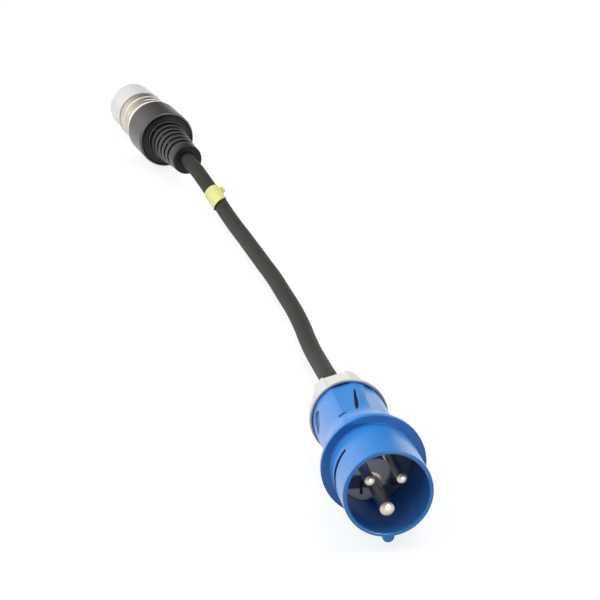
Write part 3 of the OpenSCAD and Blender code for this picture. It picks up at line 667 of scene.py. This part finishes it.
# Sleeve, with a shallow face between the hole's lip and a chamfered edge
HOLE_R = BOOT_BASE_R + FIT_GAP
LIP_W, FACE_SET, FACE_EDGE, SLEEVE_CHAMFER = 2, 0.8, 2, 1.4
# Painted highlights on the chamfer and on the hole's lip, in mm
CHAMFER_HIGHLIGHT = (0.05, 1.2)
LIP_HIGHLIGHT_LEN, LIP_HIGHLIGHT_W = 0.2, 0.6


def sleeve_painted_highlight(degrees, r, z):
    """Painted highlights: the edges that face the cable are painted pale, as glints on them."""
    low, high = CHAMFER_HIGHLIGHT
    on_chamfer = low < z < high and r > SLEEVE_R - SLEEVE_CHAMFER
    return on_chamfer or z < LIP_HIGHLIGHT_LEN and r < HOLE_R + LIP_HIGHLIGHT_W


def make_sleeve():
    """The smooth black sleeve."""
    bore_r, back_t = 17.5, 4.0
    outline = rounded(
        [(HOLE_R, 0, 0.4), (HOLE_R + LIP_W, 0, 0.5), (HOLE_R + LIP_W, FACE_SET, 0.3),
         (SLEEVE_R - FACE_EDGE, FACE_SET, 0.3), (SLEEVE_R - SLEEVE_CHAMFER, 0, 0.4),
         (SLEEVE_R, SLEEVE_CHAMFER, 0.8), (SLEEVE_R, SLEEVE_LEN, EDGE), (bore_r, SLEEVE_LEN, 0),
         (bore_r, back_t, 0), (HOLE_R, back_t, 0)])
    piece = turned("sleeve_skin", CONNECTOR, outline, painted_light=sleeve_painted_highlight)
    return stand_for(piece, ROOT, "connector_sleeve")


# Shell, with a washer next to the sleeve, painted white as a highlight, and a groove in the band
WASHER_R, WASHER_LEN, WASHER_FALL, WASHER_GAP = 19.7, 5.5, 0.8, 0.1
# How far above the shell's radius the washer's painted highlight starts
WASHER_HIGHLIGHT_ABOVE = 0.2
BAND_GROOVE = 0.62


def shell_painted_highlight(degrees, r, z):
    """Painted highlight: the washer is painted white, as a glint next to the sleeve."""
    return r > SHELL_R + WASHER_HIGHLIGHT_ABOVE


def make_shell():
    """The turned metal shell with its spigot, seal groove, nose and clip groove."""
    bore_r, spigot_z, spigot_r = 13.55, 23.0, 17.35
    seal_r, seal_from, seal_to = 15.55, 27.0, 28.95
    clip_r, clip_from, clip_to = 15.6, 65.0, 66.35
    band_end = SLEEVE_LEN + BAND_LEN
    washer_end = SLEEVE_LEN + WASHER_LEN
    groove = SLEEVE_LEN + BAND_LEN * BAND_GROOVE
    outline = rounded(
        [(bore_r, spigot_z, 0), (spigot_r, spigot_z, 0), (spigot_r, seal_from, 0),
         (seal_r, seal_from, 0), (seal_r, seal_to, 0), (spigot_r, seal_to, 0),
         (spigot_r, SLEEVE_LEN, 0), (WASHER_R, SLEEVE_LEN + WASHER_GAP, 0.3),
         (WASHER_R, washer_end, 0.5), (SHELL_R, washer_end + WASHER_FALL, 0.2),
         (SHELL_R, groove - EDGE, 0.25), (SHELL_R - EDGE, groove, 0.2),
         (SHELL_R, groove + EDGE, 0.25), (SHELL_R, band_end, EDGE), (NOSE_R, band_end, 0),
         (NOSE_R, clip_from, 0), (clip_r, clip_from, 0), (clip_r, clip_to, 0),
         (NOSE_R, clip_to, 0), (NOSE_R, NOSE_Z, EDGE), (bore_r, NOSE_Z, 0)])
    piece = turned("shell_skin", CONNECTOR, outline, painted_light=shell_painted_highlight)
    return stand_for(piece, ROOT, "connector_shell")


# Coupling ring, with a groove whose floor and far side have a painted highlight, a white line
RING_START = SLEEVE_LEN + BAND_LEN + RUNNING_GAP
RING_CHAMFER = 1.0
RING_GROOVE = RING_START + RING_LEN * 0.38
RING_FALL, RING_FLOOR = 0.2, 0.9
HIGHLIGHT_LINE_FROM = RING_GROOVE + 0.3
HIGHLIGHT_LINE_TO = RING_GROOVE + RING_FLOOR + 2 * RING_CHAMFER
PAST_HIGHLIGHT_LINE = 0.1


def ring_painted_highlight(degrees, r, z):
    """Painted highlight: the line in the groove is painted white, as a glint."""
    return HIGHLIGHT_LINE_FROM < z < HIGHLIGHT_LINE_TO


def make_ring():
    """The metal ring that turns on the nose."""
    bore_r = NOSE_R + RUNNING_GAP
    floor_r, end = SHELL_R - EDGE, RING_START + RING_LEN
    floor_end = RING_GROOVE + RING_FLOOR
    outline = rounded(
        [(bore_r, RING_START, 0.2), (SHELL_R - RING_CHAMFER, RING_START, 0.1),
         (SHELL_R, RING_START + RING_CHAMFER, 0.1), (SHELL_R, RING_GROOVE, 0.2),
         (floor_r, RING_GROOVE + RING_FALL, 0.1), (floor_r, floor_end, 0.1),
         (SHELL_R, floor_end + RING_CHAMFER, 0.1), (SHELL_R, HIGHLIGHT_LINE_TO, 0),
         (SHELL_R, HIGHLIGHT_LINE_TO + PAST_HIGHLIGHT_LINE, 0), (SHELL_R, end, EDGE), (bore_r, end, 0.2)], steps=2)
    piece = turned("ring_skin", CONNECTOR, outline, painted_light=ring_painted_highlight)
    return stand_for(piece, "coupling_ring", "coupling_ring")


# Dust cap
CAP_LIP, CAP_LIP_LEN, CAP_LIP_END = 0.5, 2, 2.5


def make_cap():
    """The push-on cap with a lip at its mouth."""
    bore_r, start, length, wall = 16.65, 66.7, 30.95, 1.5
    outer_r = bore_r + wall
    end = start + length
    outline = rounded(
        [(bore_r, start, 0.2), (outer_r + CAP_LIP, start, 0.4),
         (outer_r + CAP_LIP, start + CAP_LIP_LEN, 0.4), (outer_r, start + CAP_LIP_END, 0.4),
         (outer_r, end, 2.6), (0, end, 0), (0, end - wall, 0), (bore_r, end - wall, 1.0)],
        steps=6)
    piece = turned("cap_skin", CONNECTOR, outline)
    return stand_for(piece, "dust_cap", "dust_cap")


# Lead: straight out of the nut, down to the floor, along it and up into the bend relief
FLOOR_GAP = 0.15
FLOOR_Z = CABLE_R + FLOOR_GAP
STRAIGHT_OUT, BEFORE_BOOT, INTO_BOOT = 12, 5, 8
CABLE_SIDES, CABLE_STEPS = 8, 10
LABEL_FROM = (-22.3, 427, 9)
LABEL_TO = (-28, 451, 14.3)
ROUTE_FLOOR = [
    (0, 100, 15.9), (0.5, 120, 12.3), (1, 140, 8.9), (1, 160, 6.5), (1, 180, FLOOR_Z),
    (1, 206, FLOOR_Z), (0, 232, FLOOR_Z), (-2, 258, FLOOR_Z), (-4, 284, FLOOR_Z),
    (-7, 310, FLOOR_Z), (-10, 336, FLOOR_Z), (-13, 362, FLOOR_Z), (-16, 386, FLOOR_Z),
    (-19, 408, 6.4), LABEL_FROM, LABEL_TO, (-32.8, 470, 18.5),
]


def lead_route():
    """The lead's points from the gland to the bend relief, in metres."""
    start = [place(PLUG, 0, 0, NUT_BACK), place(PLUG, 0, 0, NUT_BACK - STRAIGHT_OUT)]
    middle = [Vector(p) * MM for p in ROUTE_FLOOR]
    end = [place(CONNECTOR, 0, 0, -BOOT_LEN - BEFORE_BOOT),
           place(CONNECTOR, 0, 0, -BOOT_LEN + INTO_BOOT)]
    return start + middle + end


def make_cable(route):
    """The sheath, as a round curve along the route."""
    curve = bpy.data.curves.new("cable_sheath", "CURVE")
    curve.dimensions = "3D"
    curve.bevel_depth = CABLE_R * MM
    curve.bevel_resolution = CABLE_SIDES
    curve.resolution_u = CABLE_STEPS
    curve.use_fill_caps = True
    spline = curve.splines.new("BEZIER")
    spline.bezier_points.add(len(route) - 1)
    for knot, point in zip(spline.bezier_points, route):
        knot.co = point
        knot.handle_left_type = "AUTO"
        knot.handle_right_type = "AUTO"
    return stand_for(add_object("cable_sheath", curve), ROOT, "cable")


# Tape label: a band with a slanting end, a loose tip on its left and a curled flag on its right
LEAD_SAMPLES = 24
LABEL_COLUMNS, LABEL_ROWS = 48, 14
TAPE_R, TAPE_T = CABLE_R + FIT_GAP, 0.5
LABEL_START, LABEL_RIGHT, LABEL_LEFT = 7.5, 22.5, 34.0
LABEL_SLANT = 4.5
TIP_AT, TIP_LIFT, TIP_LEN, TIP_POWER = 145, 0.4, 7, 4
FLAG_STEPS = 8
FLAG_FROM, FLAG_TO, FLAG_OUT = 7.0, 13.5, 3.4
FLAG_GAP, FLAG_CURL, FLAG_DROP = 0.1, 2.2, 0.6


def thick_sheet(outer, inner, wrap):
    """Points and faces of a closed sheet between two grids of points."""
    rows, columns = len(outer), len(outer[0])
    points = [p for row in outer for p in row] + [p for row in inner for p in row]
    spans = columns if wrap else columns - 1

    def at(side, i, k):
        """Number of a point on the outer side, 0, or the inner side, 1."""
        return side * rows * columns + i * columns + k % columns

    faces = [[at(s, i, k), at(s, i, k + 1), at(s, i + 1, k + 1), at(s, i + 1, k)]
             for s in (0, 1) for i in range(rows - 1) for k in range(spans)]
    faces += [[at(0, i, k), at(0, i, k + 1), at(1, i, k + 1), at(1, i, k)]
              for i in (0, rows - 1) for k in range(spans)]
    if not wrap:
        faces += [[at(0, i, k), at(0, i + 1, k), at(1, i + 1, k), at(1, i, k)]
                  for k in (0, columns - 1) for i in range(rows - 1)]
    return points, faces


def lead_samples(cable):
    """Points along the lead's curve, close together."""
    bpy.context.view_layer.update()
    knots = cable.data.splines[0].bezier_points
    points = []
    for a, b in zip(knots, knots[1:]):
        stretch = interpolate_bezier(a.co, a.handle_right, b.handle_left, b.co, LEAD_SAMPLES)
        points += stretch[:-1]
    return points


def label_axes(samples):
    """A function that gives the lead's centre, right and up at a distance from the label's far end."""
    far = Vector(LABEL_TO) * MM
    start = min(range(len(samples)), key=lambda i: (samples[i] - far).length)

    def axes(distance):
        i, left = start, distance * MM
        while left > (samples[i] - samples[i - 1]).length:
            left -= (samples[i] - samples[i - 1]).length
            i -= 1
        ahead = (samples[i] - samples[i - 1]).normalized()
        right = ahead.cross(Vector((0, 0, 1))).normalized()
        return samples[i] - ahead * left, right, right.cross(ahead)

    return axes


def label_band(axes, lift_from):
    """A grid of points on the band that is wrapped round the cable."""
    grid = []
    for i in range(LABEL_ROWS + 1):
        row = []
        for k in range(LABEL_COLUMNS):
            a = 2 * math.pi * k / LABEL_COLUMNS
            leftness = 0.5 + 0.5 * math.cos(a - math.radians(TIP_AT))
            start = LABEL_START + LABEL_SLANT * leftness
            end = LABEL_RIGHT + (LABEL_LEFT - LABEL_RIGHT) * leftness
            distance = start + (end - start) * i / LABEL_ROWS
            centre, right, up = axes(distance)
            loose = smooth_step(LABEL_LEFT - TIP_LEN, LABEL_LEFT, distance) * leftness ** TIP_POWER
            radius = (lift_from + TIP_LIFT * loose) * MM
            row.append(centre + (right * math.cos(a) + up * math.sin(a)) * radius)
        grid.append(row)
    return grid


def label_flag(axes, sink):
    """A grid of points on the flag, which curls up as it leaves the cable."""
    grid = []
    for i in range(FLAG_STEPS + 1):
        centre, right, up = axes(FLAG_FROM + (FLAG_TO - FLAG_FROM) * i / FLAG_STEPS)
        row = []
        for k in range(FLAG_STEPS + 1):
            out = FLAG_OUT * k / FLAG_STEPS
            curl = FLAG_CURL * (out / FLAG_OUT) ** 2 - FLAG_DROP * out / FLAG_OUT - sink
            row.append(centre + right * (TAPE_R + FLAG_GAP + out) * MM + up * curl * MM)
        grid.append(row)
    return grid


def make_label(axes):
    """The bare tape label."""
    points, faces = thick_sheet(label_band(axes, TAPE_R + TAPE_T), label_band(axes, TAPE_R), True)
    more, extra = thick_sheet(label_flag(axes, 0), label_flag(axes, TAPE_T), False)
    faces += [[c + len(points) for c in face] for face in extra]
    piece = solid("tape_label", points + more, faces)
    return stand_for(piece, ROOT, "cable_label")


make_shroud()
make_housing()
make_nut()
on_lead = [make_boot(), make_sleeve(), make_shell(), make_ring(), make_cap()]
on_lead += [frame["nodes"][n] for n in ("cord_grip", "connector_cores", "shell_seal",
                                        "contact_insert", "socket_contacts", "ring_clip")]
route = lead_route()
cable = make_cable(route)
on_lead.append(make_label(label_axes(lead_samples(cable))))


# Stage. Each lobe of the sky has its direction, how fast it falls off and its brightness. The
# backdrop fades between two heights, as the sine of the angle above the floor.
FLOOR_HALF = 30.0
FLOOR_SEEN, FLOOR_UNSEEN = (0.36, 0.35, 0.33, 1), (0.24, 0.24, 0.26, 1)
FLOOR_GLOW, GLOW_LEVEL = (0.97, 0.985, 1.0, 1), 0.78
SKY_DARK = 0.04
SKY_LOBES = (((-0.8, 0.1, 0.6), 2, 1.15), ((-0.52, 0.85, 0.04), 10, 0.9))
BACKDROP_LOW, BACKDROP_HIGH = 0.04, 0.2
CAMERA_AT = (-0.1707, -0.8855, 0.4607)
CAMERA_PITCH, CAMERA_HEADING = 21.7, 8.9
CAMERA_LENS, CAMERA_SENSOR, CAMERA_REACH = 120, 36, 50


def seen_rays(tree):
    """1 for what the camera sees, also in metal and through the cap, and 0 for other light."""
    path = tree.nodes.new("ShaderNodeLightPath").outputs
    mirrored = math_node(tree, "MAXIMUM", path["Is Camera Ray"], path["Is Glossy Ray"])
    return math_node(tree, "MAXIMUM", mirrored, path["Is Transmission Ray"])


def floor_material():
    """A floor that looks white, and that throws little light back on the object."""
    material = bpy.data.materials.new("floor")
    material.use_nodes = True
    tree = material.node_tree
    tree.nodes.clear()
    seen = add_node(tree, "ShaderNodeBsdfDiffuse", {"Color": FLOOR_SEEN})
    glow = add_node(tree, "ShaderNodeEmission", {"Color": FLOOR_GLOW, "Strength": GLOW_LEVEL})
    white = add_node(tree, "ShaderNodeAddShader", {0: seen.outputs[0], 1: glow.outputs[0]})
    dim = add_node(tree, "ShaderNodeBsdfDiffuse", {"Color": FLOOR_UNSEEN})
    choose = add_node(tree, "ShaderNodeMixShader", {
        0: seen_rays(tree), 1: dim.outputs[0], 2: white.outputs[0]})
    add_node(tree, "ShaderNodeOutputMaterial", {"Surface": choose.outputs[0]})
    return material


def make_floor():
    """A wide plain floor."""
    mesh = bpy.data.meshes.new("floor")
    corners = [(x * FLOOR_HALF, y * FLOOR_HALF, 0) for x, y in ((-1, -1), (1, -1), (1, 1), (-1, 1))]
    mesh.from_pydata(corners, [], [(0, 1, 2, 3)])
    floor = add_object("floor", mesh)
    floor.data.materials.append(floor_material())


def sky_lobe(tree, where, towards, fall, bright, base):
    """Adds one soft bright side of the sky to a base level."""
    facing = add_node(
        tree, "ShaderNodeVectorMath", {0: where, 1: Vector(towards).normalized()}, "DOT_PRODUCT")
    ahead = add_node(tree, "ShaderNodeMapRange", {"Value": facing.outputs["Value"]})
    power = math_node(tree, "POWER", ahead.outputs["Result"], fall)
    return math_node(tree, "MULTIPLY_ADD", power, bright, base)


def make_world():
    """Soft light from the left and above, with a brighter side low at the back left, and a white
    backdrop low down that is only seen."""
    world = bpy.data.worlds.new("studio")
    world.use_nodes = True
    tree = world.node_tree
    where = add_node(tree, "ShaderNodeTexCoord", {}).outputs["Generated"]
    level = SKY_DARK
    for towards, fall, bright in SKY_LOBES:
        level = sky_lobe(tree, where, towards, fall, bright, level)
    height = add_node(tree, "ShaderNodeSeparateXYZ", {0: where})
    backdrop = add_node(tree, "ShaderNodeMapRange", {
        "Value": height.outputs["Z"], "From Min": BACKDROP_LOW, "From Max": BACKDROP_HIGH,
        "To Min": 1, "To Max": 0})
    white = math_node(tree, "MULTIPLY", backdrop.outputs["Result"], seen_rays(tree))
    background = tree.nodes["Background"]
    background.inputs["Color"].default_value = (1, 1, 1, 1)
    tree.links.new(math_node(tree, "MAXIMUM", level, white), background.inputs["Strength"])
    bpy.context.scene.world = world


def make_camera():
    """The camera at the photograph's viewing angle."""
    camera = bpy.data.cameras.new("camera")
    camera.lens = CAMERA_LENS
    camera.sensor_width = CAMERA_SENSOR
    camera.clip_end = CAMERA_REACH
    eye = add_object("camera", camera)
    eye.location = CAMERA_AT
    eye.rotation_euler = (math.radians(90 - CAMERA_PITCH), 0, math.radians(-CAMERA_HEADING))
    bpy.context.scene.camera = eye


def add_lamp(name, kind, place_at, target, power, **settings):
    """A lamp turned to a target; settings are those of its kind, such as its size."""
    light = bpy.data.lights.new(name, kind)
    light.energy = power
    for setting, value in settings.items():
        setattr(light, setting, value)
    lamp = add_object(name, light)
    lamp.location = place_at
    aim = Vector(target) - Vector(place_at)
    lamp.rotation_euler = aim.to_track_quat("-Z", "Y").to_euler()


make_floor()
make_world()
make_camera()
add_lamp("key", "AREA", (-1.2, 0.4, 0.5), (0, 0.15, 0), power=6.5, shape="DISK", size=0.8)
add_lamp("top", "AREA", (0.6, 0.35, 1.3), (0, 0.2, 0), power=11.5, shape="DISK", size=1.3)
add_lamp("fill", "AREA", (1.3, 1.5, 0.8), (0, 0.25, 0), power=9, shape="DISK", size=1.2)
add_lamp("mouth", "SPOT", (0.28, -1.05, 0.11), place(PLUG, 0, 0, SHROUD_LEN), power=15,
         spot_size=math.radians(3.5), spot_blend=0.6, shadow_soft_size=0.02)
bpy.context.scene.view_settings.view_transform = "Standard"
